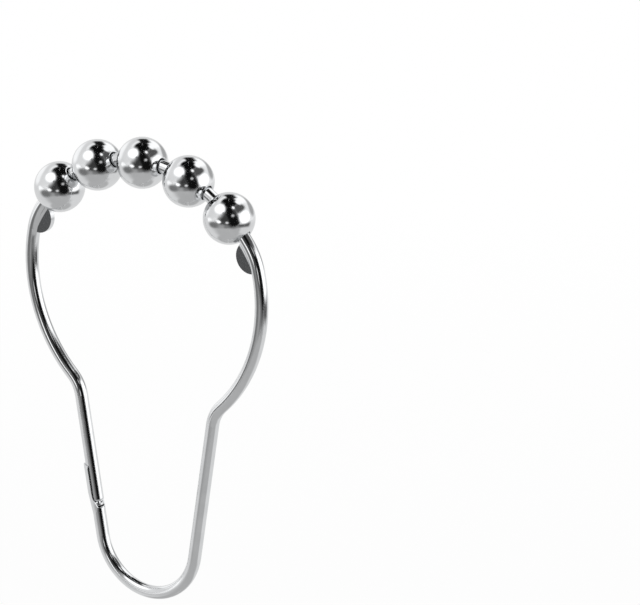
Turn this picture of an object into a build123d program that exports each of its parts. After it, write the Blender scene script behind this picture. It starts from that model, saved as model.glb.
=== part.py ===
from build123d import *
import os
from math import acos, asin, atan2, cos, degrees, hypot, radians, sin, sqrt

# Shower curtain hook. One springy wire is bent into a tall loop with a waist, and bored balls
# are threaded on its arch. The balls roll on the shower rod, and the curtain hangs in the
# lower loop. The wire opens at a clasp in its back leg.
#
# Frame: the origin is the middle of the circle through the balls' centres. +X runs along the
# shower rod, +Y points to the leg that has the clasp, and +Z is up. The wire lies in X = 0.
# Lengths are millimetres, angles are degrees, and a slope is measured from the vertical.

# Wire
wire_diameter = 2.2

# Balls on the arch
ball_count = 5
ball_diameter = 8.5
ball_gap = 0.95               # bare wire between two balls
rod_room_radius = 21.65       # largest round rod that all the balls touch
bore_clearance = 0.1          # least room between the bent wire and the wall of a bore
bore_land = 0.8               # tight stretch at each mouth of a bore
bore_mouth_rounding = 0.2

# Bends, from the last ball on the arch down to the lower loop, all to the middle of the wire
arch_run_out = 1.15           # bare wire with the arch's own bend beyond the last ball
shoulder_radius = 11.0
side_top_slope = 13.0         # the side still leans outwards where the shoulder ends
side_radius = 25.6
waist_slope = 47.0            # the side leans inwards this far where the waist bend starts
waist_radius = 6.0
leg_length = 24.6             # straight wire from the waist bend to the lower loop
loop_radius = 9.8

# Stops pressed out of the wire below the outer balls, to keep the balls on the arch
stop_ball_clearance = 0.2
stop_depth = 2.25             # from the wire's inner side to the stop's tip
stop_radius = 2.75            # of the stop's round outline
stop_thickness = 0.95
stop_blend_radius = 1.0       # hollow between the flat stop and the round wire
stop_root_depth = 0.1         # how far below the wire's surface the hollow ends

# Clasp in the back leg: a necked head on the upper wire sits in a cradle on the lower wire
clasp_above_loop = 3.8        # straight wire between the clasp and the lower loop
cradle_length = 6.75          # from the cradle's tip to the lip that catches the head
cradle_wall = 0.26
cradle_gap = 0.06             # between the cradle and the leg that it holds
cradle_tip_radius = 0.9
cradle_taper_length = 3.8     # where the cradle's back narrows down to the wire
cradle_taper_above_lip = 1.65
cheek_length = 1.75           # slanted rise of the cradle's edges down to the pocket's floor
cheek_reach = 0.6             # past the middle of the leg, so that the head snaps in
lip_thickness = 0.2
neck_diameter = 1.0
head_diameter = 1.9
head_length = 0.45
head_clearance = 0.07         # between the head and its pocket
head_play = 0.2               # room below the head
leg_end_rounding = 0.4
shoulder_rounding = 0.25      # of the lower wire's end, at the pocket's floor

# Sizes that follow from these
wire_radius = wire_diameter / 2
ball_radius = ball_diameter / 2
ring_radius = rod_room_radius + ball_radius
ball_pitch = 2 * degrees(asin((ball_diameter + ball_gap) / (2 * ring_radius)))
last_ball_angle = ball_pitch * (ball_count - 1) / 2

# The bent wire runs through the middle of a bore's two mouths, which are tight, and bows out
# between them, where the bore is wider
land_reach = sqrt(ball_radius**2 - wire_radius**2)
land_middle = land_reach - bore_land / 2
arch_radius = hypot(ring_radius, land_middle)
mouth_radius = (wire_radius * arch_radius + bore_land / 2 * land_middle) / ring_radius + bore_clearance
bore_radius = wire_radius + arch_radius - ring_radius + bore_clearance

ball_half_angle = 2 * degrees(asin(ball_radius / (2 * ring_radius)))
arch_end_angle = last_ball_angle + ball_half_angle + degrees(arch_run_out / arch_radius)

# Where the clasp's faces lie, measured down the leg from the cradle's tip
leg_end = cradle_length - head_clearance
head_top = cradle_length + lip_thickness + head_clearance
head_bottom = head_top + head_length
pocket_floor = head_bottom + head_play
cradle_inner_radius = wire_radius + cradle_gap
cradle_outer_radius = cradle_inner_radius + cradle_wall
taper_start = cradle_length - cradle_taper_above_lip
taper_end = taper_start + cradle_taper_length
clasp_distance = leg_length - clasp_above_loop - taper_end    # from the waist bend to the tip


def bent_run(side, moves):
    # Edges of the wire in the hook's plane, from the top of the arch down the back (side 1)
    # or the front (side -1). Each move is (0, length) for a straight stretch or (radius, turn)
    # for a bend, where a positive turn bends the wire in towards the middle of the hook.
    edges = []
    place, heading = Vector(0, arch_radius), Vector(side, 0)
    for radius, amount in moves:
        if radius:
            edge = JernArc(place, heading, radius, -side * amount)
        else:
            edge = Line(place, place + heading * amount)
        edges.append(edge)
        place, heading = edge @ 1, edge % 1
    return edges


def bends_above_legs():
    # Moves from the top of the arch to the end of the waist bend, the same on both sides,
    # and the slope of the legs, which touch both the waist bends and the lower loop
    moves = [(arch_radius, arch_end_angle),
             (shoulder_radius, 90 - arch_end_angle - side_top_slope),
             (side_radius, side_top_slope + waist_slope)]
    side_end = bent_run(1, moves)[-1] @ 1
    waist_centre_y = side_end.X + waist_radius * cos(radians(waist_slope))
    both_radii = waist_radius + loop_radius
    leg_slope = degrees(atan2(leg_length, both_radii)
                        - acos(waist_centre_y / hypot(leg_length, both_radii)))
    return moves + [(waist_radius, leg_slope - waist_slope)], leg_slope


def swept_wire(bends, leg_slope):
    # The round wire over its whole length, from its head end over the arch and round the
    # lower loop to its cradle end
    back = bent_run(1, bends + [(0, clasp_distance + leg_end - leg_end_rounding)])
    lower_moves = [(0, leg_length), (loop_radius, 180 - 2 * leg_slope),
                   (0, clasp_above_loop)]
    front = bent_run(-1, bends + lower_moves)
    path = Plane.YZ * Wire(back + front)
    section = Plane(path @ 0, z_dir=path % 0) * Circle(wire_radius)
    return sweep(section, path)


def clasp_plane(bends):
    # Local X points out of the hook across the back leg, and local Y runs down the middle
    # of the leg from the cradle's tip
    waist_end = bent_run(1, bends)[-1]
    down = waist_end % 1
    tip = waist_end @ 1 + down * clasp_distance
    return Plane(origin=(0, tip.X, tip.Y), x_dir=(0, -down.Y, down.X), z_dir=(-1, 0, 0))


def arch_plane(angle, radius):
    # Local X points away from the origin and local Y runs along the arch, at an angle from
    # the top towards the back
    across = (0, sin(radians(angle)), cos(radians(angle)))
    return Plane(origin=Vector(across) * radius, x_dir=across, z_dir=(-1, 0, 0))


def rounded(face, corner, radius):
    # The face with the corner nearest to a point rounded
    return fillet(face.vertices().sort_by_distance((*corner, 0))[0], radius)


def turned(plane, face):
    # A face drawn in the plane to one side of its Y axis, turned about that axis
    return revolve(plane * face, Axis(plane.origin, plane.y_dir), 360)


def head_end(plane):
    # End of the upper wire: its rounded edge, then the neck and the head
    neck_radius, head_radius = neck_diameter / 2, head_diameter / 2
    start = leg_end - leg_end_rounding
    edge = JernArc((wire_radius, start), (0, 1), leg_end_rounding, 90)
    below = Polyline(edge @ 1, (neck_radius, leg_end), (neck_radius, head_top),
                     (head_radius, head_top), (head_radius, head_bottom), (0, head_bottom),
                     (0, start), edge @ 0)
    face = make_face(edge + below)
    face = rounded(face, (head_radius, head_top), head_length / 4)
    face = rounded(face, (head_radius, head_bottom), head_length / 2)
    return turned(plane, face)


def cradle_end(plane):
    # End of the lower wire: its round shoulder, and the half pipe behind the leg, with a lip
    # into the neck and a pocket below it for the head
    shoulder = JernArc((wire_radius - shoulder_rounding, pocket_floor), (1, 0), shoulder_rounding, 90)
    stub = make_face(shoulder + Polyline(shoulder @ 1, (wire_radius, taper_end), (0, taper_end),
                                         (0, pocket_floor), shoulder @ 0))
    lip_radius = neck_diameter / 2 + head_clearance
    pocket_radius = head_diameter / 2 + head_clearance
    lip_bottom = cradle_length + lip_thickness
    shell = make_face(Polyline((cradle_inner_radius, 0), (cradle_outer_radius, 0),
                               (cradle_outer_radius, taper_start), (wire_radius, taper_end),
                               (0, taper_end), (0, pocket_floor), (pocket_radius, pocket_floor),
                               (pocket_radius, lip_bottom), (lip_radius, lip_bottom),
                               (lip_radius, cradle_length), (cradle_inner_radius, cradle_length),
                               close=True))
    # Seen from behind, the half pipe's tip is a rounded tongue
    wide = 2 * cradle_outer_radius
    tongue = Pos(0, taper_end / 2) * Rectangle(wide, taper_end)
    for side in (-1, 1):
        tongue = rounded(tongue, (side * cradle_outer_radius, 0), cradle_tip_radius)
    behind = Plane(plane.origin, x_dir=-plane.z_dir, z_dir=plane.x_dir)
    # Seen from the side, the pipe is cut open along its middle, and the cut slants to leave the
    # cheeks round the head
    opening = make_face(Polyline((0, -wide), (0, pocket_floor - cheek_length),
                                 (-cheek_reach, pocket_floor), (0, taper_end),
                                 (-wide, taper_end), (-wide, -wide), close=True))
    pipe = turned(plane, shell) & extrude(behind * tongue, wide, both=True)
    return turned(plane, stub) + (pipe - extrude(plane * opening, wide, both=True))


def stop():
    # Flat round ear on the inner side of the wire below the last ball, with a hollow blend into
    # the round wire, cut from a plate that is bent along the arch
    half_plate = stop_thickness / 2
    wire_inner = arch_radius - wire_radius
    tip = wire_inner - stop_depth
    blend_x = half_plate + stop_blend_radius
    root_radius = wire_radius - stop_root_depth
    blend_z = arch_radius - sqrt((root_radius + stop_blend_radius)**2 - blend_x**2)
    root_share = root_radius / (root_radius + stop_blend_radius)
    root = (blend_x * root_share, arch_radius - (arch_radius - blend_z) * root_share)
    blend = RadiusArc((half_plate, blend_z), root, -stop_blend_radius)
    half = make_face(blend + Polyline(root, (0, root[1]), (0, tip), (half_plate, tip),
                                      (half_plate, blend_z)))
    section = Plane.XZ * (half + mirror(half, about=Plane.YZ))

    ball_edge = last_ball_angle + ball_half_angle
    middle = ball_edge + degrees((stop_ball_clearance + stop_radius) / wire_inner)
    span = 4 * degrees(stop_radius / wire_inner)
    plate = revolve(section, Axis.X, span).rotate(Axis.X, -middle - span / 2)
    outline = arch_plane(middle, tip + stop_radius) * Circle(stop_radius)
    return plate & extrude(outline, wire_diameter, both=True)


def ball(angle):
    # Ball with a bore along the arch, tight and rounded at both mouths and barrel-shaped between
    outside = ball_diameter
    land_end = land_reach - bore_land
    barrel = ThreePointArc((mouth_radius, -land_end), (bore_radius, 0), (mouth_radius, land_end))
    room = make_face(barrel + Polyline(barrel @ 1, (mouth_radius, outside), (outside, outside),
                                       (outside, -outside), (mouth_radius, -outside), barrel @ 0))
    face = Circle(ball_radius) & room
    mouth_y = sqrt(ball_radius**2 - mouth_radius**2)
    for side in (-1, 1):
        face = rounded(face, (mouth_radius, side * mouth_y), bore_mouth_rounding)
    return turned(arch_plane(angle, ring_radius), face)


bends, leg_slope = bends_above_legs()
plane = clasp_plane(bends)
back_stop = stop()
wire_hook = swept_wire(bends, leg_slope) + back_stop + mirror(back_stop, about=Plane.XZ)
wire_hook += head_end(plane) + cradle_end(plane)

os.makedirs("parts", exist_ok=True)
export_step(wire_hook, "parts/wire_hook.step")
for number in range(ball_count):
    angle = number * ball_pitch - last_ball_angle
    export_step(ball(angle), f"parts/roller_ball_{number + 1}.step")
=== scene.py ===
import bpy
import math
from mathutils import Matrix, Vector


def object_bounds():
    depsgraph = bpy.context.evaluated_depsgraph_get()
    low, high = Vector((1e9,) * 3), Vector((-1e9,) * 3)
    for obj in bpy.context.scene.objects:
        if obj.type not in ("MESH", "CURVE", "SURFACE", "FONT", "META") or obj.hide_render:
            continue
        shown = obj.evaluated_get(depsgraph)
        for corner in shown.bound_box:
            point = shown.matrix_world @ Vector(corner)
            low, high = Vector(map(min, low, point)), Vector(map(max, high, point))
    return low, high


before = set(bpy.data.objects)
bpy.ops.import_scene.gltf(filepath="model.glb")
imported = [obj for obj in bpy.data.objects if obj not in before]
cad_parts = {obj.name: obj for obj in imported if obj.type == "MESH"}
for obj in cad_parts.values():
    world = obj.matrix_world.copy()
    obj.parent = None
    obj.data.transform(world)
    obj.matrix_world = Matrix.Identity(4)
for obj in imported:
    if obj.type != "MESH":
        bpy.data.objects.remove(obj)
cadLow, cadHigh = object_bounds()
scene = bpy.context.scene
scene.view_settings.view_transform = "Standard"
print("loaded", len(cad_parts), "pieces of the hook")


# camera, at the photo's own place

cameraSetup = {
    "place": (-0.42794, -0.32758, 0.16702),
    "aim": (0.01801, -0.02271, 0.00148),
    "lens": 192.1,
    "sensor": 36.0,
    "nearest": 0.01,
    "farthest": 50.0,
}


def addCamera(setup):
    data = bpy.data.cameras.new("camera")
    data.lens = setup["lens"]
    data.sensor_width = setup["sensor"]
    data.clip_start = setup["nearest"]
    data.clip_end = setup["farthest"]
    camera = bpy.data.objects.new("camera", data)
    scene.collection.objects.link(camera)
    place, aim = Vector(setup["place"]), Vector(setup["aim"])
    camera.location = place
    camera.rotation_mode = "QUATERNION"
    camera.rotation_quaternion = (aim - place).to_track_quat("-Z", "Y")
    scene.camera = camera


addCamera(cameraSetup)
print("camera set")


# small helpers for node materials

def newMaterial(name):
    material = bpy.data.materials.new(name)
    material.use_nodes = True
    material.node_tree.nodes.clear()
    return material, material.node_tree


def addNode(tree, kind, **settings):
    node = tree.nodes.new(kind)
    for key, value in settings.items():
        if key in node.inputs:
            node.inputs[key].default_value = value
        else:
            setattr(node, key, value)
    return node


def whiteForView(tree, whiteShare):
    # share of plain white that the camera, mirrors and clear things see, and other rays don't
    path = addNode(tree, "ShaderNodeLightPath")
    seen = path.outputs["Is Camera Ray"]
    for ray in ("Is Glossy Ray", "Is Transmission Ray"):
        either = addNode(tree, "ShaderNodeMath", operation="MAXIMUM")
        tree.links.new(seen, either.inputs[0])
        tree.links.new(path.outputs[ray], either.inputs[1])
        seen = either.outputs[0]
    share = addNode(tree, "ShaderNodeMath", operation="MULTIPLY")
    tree.links.new(seen, share.inputs[0])
    if isinstance(whiteShare, float):
        share.inputs[1].default_value = whiteShare
    else:
        tree.links.new(whiteShare, share.inputs[1])
    return share.outputs[0]


# world: white to look at, a plain grey fill light otherwise

plainWhite = (1.0, 1.0, 1.0, 1.0)
worldLook = {
    "fill": (0.55, 0.55, 0.55, 1.0),
}


def addWorld(look):
    world = bpy.data.worlds.new("studioWorld")
    scene.world = world
    world.use_nodes = True
    tree = world.node_tree
    tree.nodes.clear()
    fill = addNode(tree, "ShaderNodeBackground", Color=look["fill"], Strength=1.0)
    white = addNode(tree, "ShaderNodeBackground", Color=plainWhite, Strength=1.0)
    mix = addNode(tree, "ShaderNodeMixShader")
    output = addNode(tree, "ShaderNodeOutputWorld")
    tree.links.new(whiteForView(tree, 1.0), mix.inputs[0])
    tree.links.new(fill.outputs[0], mix.inputs[1])
    tree.links.new(white.outputs[0], mix.inputs[2])
    tree.links.new(mix.outputs[0], output.inputs[0])


addWorld(worldLook)
print("world set")


# floor under the hanging hook

floorLook = {
    "drop": 0.25,               # below the hook's lowest point
    "halfWidth": 4.0,
    "colour": (0.9, 0.9, 0.9, 1.0),
    "whiteNear": 0.92,          # share of plain white beside the hook
    "whiteFar": 1.0,
    "nearRadius": 0.3,
    "farRadius": 1.2,
}


def addFloor(look):
    half = look["halfWidth"]
    height = cadLow.z - look["drop"]
    corners = [(-half, -half, height), (half, -half, height), (half, half, height), (-half, half, height)]
    mesh = bpy.data.meshes.new("floor")
    mesh.from_pydata(corners, [], [(0, 1, 2, 3)])
    floor = bpy.data.objects.new("floor", mesh)
    scene.collection.objects.link(floor)

    material, tree = newMaterial("paleFloor")
    place = addNode(tree, "ShaderNodeNewGeometry")
    distance = addNode(tree, "ShaderNodeVectorMath", operation="LENGTH")
    tree.links.new(place.outputs["Position"], distance.inputs[0])
    share = addNode(tree, "ShaderNodeMapRange")
    share.inputs["From Min"].default_value = look["nearRadius"]
    share.inputs["From Max"].default_value = look["farRadius"]
    share.inputs["To Min"].default_value = look["whiteNear"]
    share.inputs["To Max"].default_value = look["whiteFar"]
    tree.links.new(distance.outputs["Value"], share.inputs["Value"])
    matt = addNode(tree, "ShaderNodeBsdfDiffuse", Color=look["colour"])
    white = addNode(tree, "ShaderNodeEmission", Color=plainWhite, Strength=1.0)
    mix = addNode(tree, "ShaderNodeMixShader")
    output = addNode(tree, "ShaderNodeOutputMaterial")
    tree.links.new(whiteForView(tree, share.outputs[0]), mix.inputs[0])
    tree.links.new(matt.outputs[0], mix.inputs[1])
    tree.links.new(white.outputs[0], mix.inputs[2])
    tree.links.new(mix.outputs[0], output.inputs[0])
    mesh.materials.append(material)
    return height


floorHeight = addFloor(floorLook)
print("floor laid")


# studio: directions are seen from the hook. Azimuth 0 is towards the camera and grows to the
# camera's right, elevation is above the horizon, both in degrees

def directionOf(azimuth, elevation):
    toCamera = Vector(cameraSetup["place"]) - Vector(cameraSetup["aim"])
    toCamera.z = 0
    toCamera.normalize()
    toRight = Vector((-toCamera.y, toCamera.x, 0))
    turn, rise = math.radians(azimuth), math.radians(elevation)
    level = toCamera * math.cos(turn) + toRight * math.sin(turn)
    return level * math.cos(rise) + Vector((0, 0, math.sin(rise)))


lamps = {
    "leftSoftbox": {"azimuth": -75, "elevation": 48, "wide": 0.9, "high": 0.8, "watts": 3.0},
    "rightSoftbox": {"azimuth": 70, "elevation": 20, "wide": 0.9, "high": 0.7, "watts": 3.0},
}
lampDistance = 1.0


def addLamp(name, lamp):
    data = bpy.data.lights.new(name, "AREA")
    data.shape = "RECTANGLE"
    data.size = lamp["wide"]
    data.size_y = lamp["high"]
    data.energy = lamp["watts"]
    light = bpy.data.objects.new(name, data)
    scene.collection.objects.link(light)
    direction = directionOf(lamp["azimuth"], lamp["elevation"])
    light.location = direction * lampDistance
    light.rotation_mode = "QUATERNION"
    light.rotation_quaternion = direction.to_track_quat("Z", "Y")
    light.visible_camera = False
    light.visible_glossy = False


for name, lamp in lamps.items():
    addLamp(name, lamp)


# cards round the hook that only its mirror surfaces see, later ones in front of earlier ones.
# Each is centred on (azimuth, elevation), reaches as far as half says to both sides, and fades
# out over soft, all in degrees. The flag is seen in the stops. It stands round a point between
# them, no farther than its distance and no lower than its depth, in metres
cards = {
    "ground": {"centre": (0, -55), "half": (181, 35), "soft": (1, 8), "glow": 0.48},
    "behind": {"centre": (180, -5), "half": (108, 55), "soft": (50, 8), "glow": 0.76},
    "rightWall": {"centre": (112, 12), "half": (45, 25), "soft": (20, 8), "glow": 0.95},
    "rightGrey": {"centre": (140, 8), "half": (24, 14), "soft": (16, 10), "glow": 0.42, "round": True},
    "rightFloor": {"centre": (95, -35), "half": (38, 10), "soft": (18, 8), "glow": 0.76},
    "leftGlow": {"centre": (-134, 13), "half": (26, 17), "soft": (18, 14), "glow": 1.1, "round": True},
    "lowGreyLeft": {"centre": (-34, -14), "half": (30, 13), "soft": (20, 8), "glow": 0.36},
    "lowGreyMiddle": {"centre": (-2, -14), "half": (18, 12), "soft": (14, 8), "glow": 0.2},
    "lowGreyRight": {"centre": (72, -18), "half": (32, 6), "soft": (20, 6), "glow": 0.12},
    "darkTop": {"centre": (0, 78), "half": (181, 16), "soft": (1, 8), "glow": 0.004},
    "darkRightTop": {"centre": (74, 48), "half": (34, 16), "soft": (18, 10), "glow": 0.09},
    "darkBackTop": {"centre": (172, 52), "half": (22, 18), "soft": (8, 8), "glow": 0.01},
    "frontGrey": {"centre": (2, 26), "half": (43, 38), "soft": (14, 12), "glow": 0.06},
    "darkUpper": {"centre": (4, 52), "half": (20, 28), "soft": (18, 16), "glow": 0.005, "round": True},
    "darkMiddle": {"centre": (12, 28), "half": (22, 20), "soft": (16, 14), "glow": 0.005, "round": True},
    "darkLower": {"centre": (24, 0), "half": (26, 25), "soft": (20, 16), "glow": 0.006, "round": True},
    "darkLeftLow": {"centre": (-30, 15), "half": (22, 10), "soft": (14, 8), "glow": 0.045},
    "farBandHigh": {"centre": (112, 58), "half": (18, 10), "soft": (12, 10), "glow": 1.2, "round": True},
    "farBandMiddle": {"centre": (132, 47), "half": (18, 12), "soft": (12, 10), "glow": 1.2, "round": True},
    "farBandLow": {"centre": (150, 34), "half": (18, 12), "soft": (12, 10), "glow": 1.2, "round": True},
    "leftSoftboxHalo": {"centre": (-76, 36), "half": (42, 30), "soft": (36, 26), "glow": 0.8, "round": True},
    "leftSoftboxFace": {"centre": (-60, 49), "half": (36, 19), "soft": (22, 15), "glow": 1.5, "round": True},
    "rightSoftboxFace": {"centre": (77, 9), "half": (29, 20), "soft": (16, 12), "glow": 1.5, "round": True},
    "highLamp": {"centre": (37, 60), "half": (10, 6), "soft": (8, 5), "glow": 1.3, "round": True},
    "middleLamp": {"centre": (20, 27), "half": (7, 5), "soft": (6, 4), "glow": 0.6, "round": True},
    "lowLamp": {"centre": (-7, -3), "half": (7, 4), "soft": (5, 4), "glow": 0.8, "round": True},
    "lowSideLamp": {"centre": (-44, -2), "half": (10, 5), "soft": (7, 5), "glow": 1.5, "round": True},
    "lowFarLamp": {"centre": (-90, -5), "half": (15, 7), "soft": (9, 6), "glow": 1.2, "round": True},
    "faintLamp": {"centre": (-28, 37), "half": (6, 5), "soft": (4, 4), "glow": 0.2, "round": True},
    "stopFlag": {"centre": (-68, -17), "half": (26, 11), "soft": (24, 11), "glow": 0.19, "round": True,
                 "around": (0, 0, 0.0126), "distance": 0.5, "depth": 0.0626},
}
cardDistance = 1.4
cardStep = 3                    # degrees between two rows of a card's points
cardLayer = 0.004               # each card is this much nearer than the one before
steepest = 89.9                 # degrees, just short of straight up or down


def cardMaterial(name, strength):
    material, tree = newMaterial(name)
    fade = addNode(tree, "ShaderNodeAttribute", attribute_name="fade")
    clear = addNode(tree, "ShaderNodeBsdfTransparent")
    glow = addNode(tree, "ShaderNodeEmission", Strength=strength)
    mix = addNode(tree, "ShaderNodeMixShader")
    output = addNode(tree, "ShaderNodeOutputMaterial")
    tree.links.new(fade.outputs["Fac"], mix.inputs[0])
    tree.links.new(clear.outputs[0], mix.inputs[1])
    tree.links.new(glow.outputs[0], mix.inputs[2])
    tree.links.new(mix.outputs[0], output.inputs[0])
    material.cycles.emission_sampling = "NONE"
    return material


def smooth(share):
    share = min(1.0, max(0.0, share))
    return share * share * (3 - 2 * share)


def fadeAt(card, across, up):
    # 1 inside the card, 0 beyond its soft rim, from degrees away from its centre
    (halfWide, halfHigh), (softWide, softHigh) = card["half"], card["soft"]
    if card.get("round"):
        reach = math.hypot(across / halfWide, up / halfHigh)
        return smooth((1 - reach) / (softWide / halfWide) + 0.5)
    return smooth((halfWide - abs(across)) / softWide + 0.5) * smooth((halfHigh - abs(up)) / softHigh + 0.5)


def addCard(name, card, layer):
    # the card follows a globe round the hook, and the floor where that is nearer
    azimuth, elevation = card["centre"]
    reachWide, reachHigh = [half + soft / 2 for half, soft in zip(card["half"], card["soft"])]
    columns = math.ceil(2 * reachWide / cardStep)
    rows = math.ceil(2 * reachHigh / cardStep)
    middle = Vector(card.get("around", (0, 0, 0)))
    distance = card.get("distance", cardDistance - cardLayer * layer)
    depth = card.get("depth", -floorHeight - cardLayer * (layer + 1))
    points, fades, faces = [], [], []
    for row in range(rows + 1):
        up = reachHigh * (2 * row / rows - 1)
        for column in range(columns + 1):
            across = reachWide * (2 * column / columns - 1)
            direction = directionOf(azimuth + across, min(steepest, max(-steepest, elevation + up)))
            reach = min(distance, depth / -direction.z) if direction.z < 0 else distance
            points.append(middle + direction * reach)
            fades.append(fadeAt(card, across, up))
    for row in range(rows):
        for column in range(columns):
            first = row * (columns + 1) + column
            faces.append((first, first + 1, first + columns + 2, first + columns + 1))
    mesh = bpy.data.meshes.new(name)
    mesh.from_pydata(points, [], faces)
    mesh.attributes.new("fade", "FLOAT", "POINT").data.foreach_set("value", fades)
    mesh.materials.append(cardMaterial(name, card["glow"]))
    patch = bpy.data.objects.new(name, mesh)
    scene.collection.objects.link(patch)
    patch.visible_camera = False
    patch.visible_diffuse = False
    patch.visible_shadow = False


for layer, (name, card) in enumerate(cards.items()):
    addCard(name, card, layer)
print("studio built with", len(lamps), "lamps and", len(cards), "cards")


# chrome plating. Sizes in it are millimetres, and the pieces' own coordinates are metres

metre = 1000                          # millimetres
noiseLow, noiseHigh = 0.3, 0.7        # most values of a noise lie between these
noiseRoughness = 0.55

wireFinish = {
    "darkPlating": (0.77, 0.78, 0.79, 1.0),
    "brightPlating": (0.84, 0.85, 0.86, 1.0),
    "patchSize": 2.5,
    "smoothest": 0.06,                # roughness
    "roughest": 0.11,
    "smudgeSize": 0.7,
    "grainSize": (0.05, 5.0, 5.0),    # drawn wire: fine lines that run along it
    "grainDepth": 0.0003,
    "rippleSize": 0.8,
    "rippleDepth": 0.0006,
    "edgeRadius": 0.05,
    "pressedHalfThickness": 0.6,      # the stops' flats lie no farther than this from X = 0
    "pressedFacing": 0.99,            # and face along X at least this squarely
    # painted shade: the stops' flats are made darker to stand in for the dark surroundings they mirror
    "pressedPaintedShade": (0.36, 0.37, 0.38, 1.0),
    "pressedSize": 0.25,
    "pressedSmoothest": 0.1,
    "pressedRoughest": 0.22,
}
ballFinish = {
    "darkPlating": (0.79, 0.80, 0.81, 1.0),
    "brightPlating": (0.86, 0.87, 0.88, 1.0),
    "patchSize": 3.0,
    "smoothest": 0.08,
    "roughest": 0.13,
    "smudgeSize": 0.9,
    "grainSize": (0.09, 0.09, 0.09),  # tumbled ball: a fine even grain
    "grainDepth": 0.0003,
    "rippleSize": 1.1,
    "rippleDepth": 0.0008,
    "edgeRadius": 0.05,
}


def placeNoise(tree, place, size, detail):
    # noise whose features are about size millimetres, one number or one along each axis
    sizes = size if isinstance(size, tuple) else (size, size, size)
    scaled = addNode(tree, "ShaderNodeMapping")
    scaled.inputs["Scale"].default_value = [metre / length for length in sizes]
    noise = addNode(tree, "ShaderNodeTexNoise", Scale=1.0, Detail=detail, Roughness=noiseRoughness)
    tree.links.new(place, scaled.inputs["Vector"])
    tree.links.new(scaled.outputs["Vector"], noise.inputs["Vector"])
    return noise.outputs["Fac"]


def spread(tree, value, low, high):
    # a noise value spread from low to high
    ranged = addNode(tree, "ShaderNodeMapRange")
    ranged.inputs["From Min"].default_value = noiseLow
    ranged.inputs["From Max"].default_value = noiseHigh
    ranged.inputs["To Min"].default_value = low
    ranged.inputs["To Max"].default_value = high
    tree.links.new(value, ranged.inputs["Value"])
    return ranged.outputs["Result"]


def bumped(tree, height, depth, normal):
    bump = addNode(tree, "ShaderNodeBump", Strength=1.0, Distance=depth / metre)
    tree.links.new(height, bump.inputs["Height"])
    tree.links.new(normal, bump.inputs["Normal"])
    return bump.outputs["Normal"]


def compared(tree, operation, value, limit):
    compare = addNode(tree, "ShaderNodeMath", operation=operation)
    tree.links.new(value, compare.inputs[0])
    compare.inputs[1].default_value = limit
    return compare.outputs[0]


def pressedFlats(tree, place, finish):
    # 1 on the flat faces of the stops, 0 on the rest of the wire
    facing = addNode(tree, "ShaderNodeNewGeometry").outputs["True Normal"]
    tests = (
        (facing, "GREATER_THAN", finish["pressedFacing"]),
        (place, "LESS_THAN", finish["pressedHalfThickness"] / metre),
    )
    both = addNode(tree, "ShaderNodeMath", operation="MULTIPLY")
    for number, (vector, operation, limit) in enumerate(tests):
        parts = addNode(tree, "ShaderNodeSeparateXYZ")
        size = addNode(tree, "ShaderNodeMath", operation="ABSOLUTE")
        tree.links.new(vector, parts.inputs[0])
        tree.links.new(parts.outputs["X"], size.inputs[0])
        tree.links.new(compared(tree, operation, size.outputs[0], limit), both.inputs[number])
    return both.outputs[0]


def pressedLook(tree, place, finish, colour, roughness):
    # the wire's colour and roughness: painted shade darkens the stops' flats, and they are duller there
    flats = pressedFlats(tree, place, finish)
    # painted shade laid on the stops' flats
    paintedShade = addNode(tree, "ShaderNodeMixRGB", Color2=finish["pressedPaintedShade"])
    tree.links.new(flats, paintedShade.inputs["Fac"])
    tree.links.new(colour, paintedShade.inputs["Color1"])
    grain = placeNoise(tree, place, finish["pressedSize"], detail=2.0)
    dull = spread(tree, grain, finish["pressedSmoothest"], finish["pressedRoughest"])
    mix = addNode(tree, "ShaderNodeMix", data_type="FLOAT")
    tree.links.new(flats, mix.inputs["Factor"])
    tree.links.new(roughness, mix.inputs["A"])
    tree.links.new(dull, mix.inputs["B"])
    return paintedShade.outputs["Color"], mix.outputs["Result"]


def chrome(name, finish):
    material, tree = newMaterial(name)
    place = addNode(tree, "ShaderNodeTexCoord").outputs["Object"]
    shader = addNode(tree, "ShaderNodeBsdfPrincipled", Metallic=1.0)
    output = addNode(tree, "ShaderNodeOutputMaterial")
    tree.links.new(shader.outputs[0], output.inputs[0])

    plating = addNode(tree, "ShaderNodeValToRGB")
    dark, bright = plating.color_ramp.elements
    dark.position, bright.position = noiseLow, noiseHigh
    dark.color, bright.color = finish["darkPlating"], finish["brightPlating"]
    tree.links.new(placeNoise(tree, place, finish["patchSize"], detail=3.0), plating.inputs["Fac"])
    colour = plating.outputs["Color"]
    smudges = placeNoise(tree, place, finish["smudgeSize"], detail=4.0)
    roughness = spread(tree, smudges, finish["smoothest"], finish["roughest"])
    if "pressedPaintedShade" in finish:
        colour, roughness = pressedLook(tree, place, finish, colour, roughness)
    tree.links.new(colour, shader.inputs["Base Color"])
    tree.links.new(roughness, shader.inputs["Roughness"])

    edges = addNode(tree, "ShaderNodeBevel", Radius=finish["edgeRadius"] / metre)
    ripples = placeNoise(tree, place, finish["rippleSize"], detail=1.0)
    grain = placeNoise(tree, place, finish["grainSize"], detail=2.0)
    rippled = bumped(tree, ripples, finish["rippleDepth"], edges.outputs["Normal"])
    tree.links.new(bumped(tree, grain, finish["grainDepth"], rippled), shader.inputs["Normal"])
    return material


wireChrome = chrome("wireChrome", wireFinish)
ballChrome = chrome("ballChrome", ballFinish)
for name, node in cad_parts.items():
    node.material_slots[0].material = wireChrome if name == "wire_hook" else ballChrome
print("chrome laid on")
